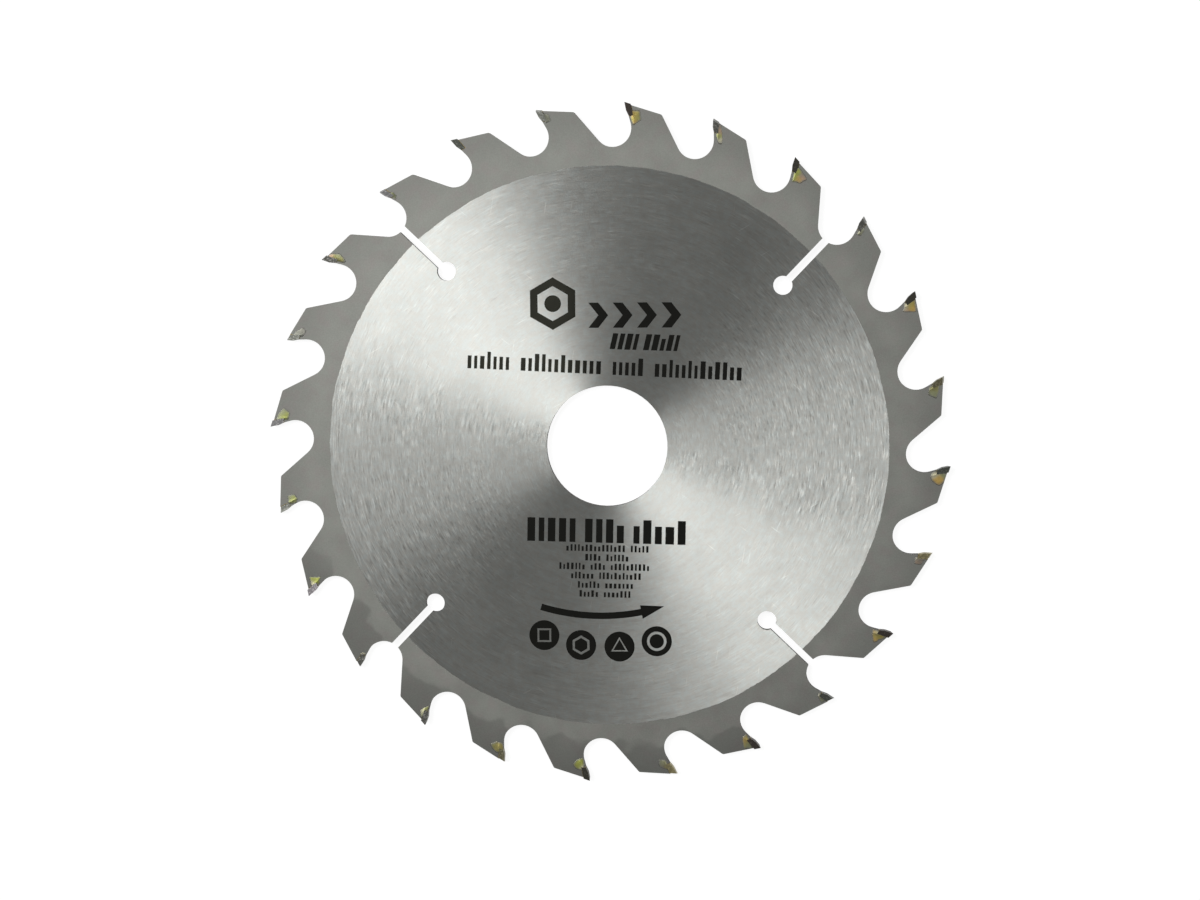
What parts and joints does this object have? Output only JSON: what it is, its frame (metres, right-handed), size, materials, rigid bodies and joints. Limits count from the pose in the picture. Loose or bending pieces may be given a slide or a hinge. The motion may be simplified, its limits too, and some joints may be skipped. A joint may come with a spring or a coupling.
{
  "type": "tct circular saw blade",
  "caption": "Flat steel saw blade with a round arbor bore, open gullets, expansion slots with relief holes and carbide teeth brazed into seats, bevelled to alternate sides.",
  "frame": {"origin": "centre of the bore, halfway through the plate", "axes": "+Z along the bore's axis, out of the printed side; the blade cuts counter-clockwise seen from +Z; +X is 11.65 degrees clockwise of the first cutting point"},
  "size_m": [0.1796, 0.1796, 0.0026],
  "materials": {
    "blade_steel": "circular brushed disc with a matt toothed ring",
    "carbide": "ground, dark grey",
    "braze": "dull gold braze",
    "print_ink": "thin dark ink, screen printed on the near side in the looks only"
  },
  "bodies": {
    "root": {"blade_body": "blade_steel", "braze_joint_01": "braze", "braze_joint_02": "braze", "braze_joint_03": "braze", "braze_joint_04": "braze", "braze_joint_05": "braze", "braze_joint_06": "braze", "braze_joint_07": "braze", "braze_joint_08": "braze", "braze_joint_09": "braze", "braze_joint_10": "braze", "braze_joint_11": "braze", "braze_joint_12": "braze", "braze_joint_13": "braze", "braze_joint_14": "braze", "braze_joint_15": "braze", "braze_joint_16": "braze", "braze_joint_17": "braze", "braze_joint_18": "braze", "braze_joint_19": "braze", "braze_joint_20": "braze", "braze_joint_21": "braze", "braze_joint_22": "braze", "braze_joint_23": "braze", "braze_joint_24": "braze", "carbide_tip_01": "carbide", "carbide_tip_02": "carbide", "carbide_tip_03": "carbide", "carbide_tip_04": "carbide", "carbide_tip_05": "carbide", "carbide_tip_06": "carbide", "carbide_tip_07": "carbide", "carbide_tip_08": "carbide", "carbide_tip_09": "carbide", "carbide_tip_10": "carbide", "carbide_tip_11": "carbide", "carbide_tip_12": "carbide", "carbide_tip_13": "carbide", "carbide_tip_14": "carbide", "carbide_tip_15": "carbide", "carbide_tip_16": "carbide", "carbide_tip_17": "carbide", "carbide_tip_18": "carbide", "carbide_tip_19": "carbide", "carbide_tip_20": "carbide", "carbide_tip_21": "carbide", "carbide_tip_22": "carbide", "carbide_tip_23": "carbide", "carbide_tip_24": "carbide"}
  },
  "joints": []
}
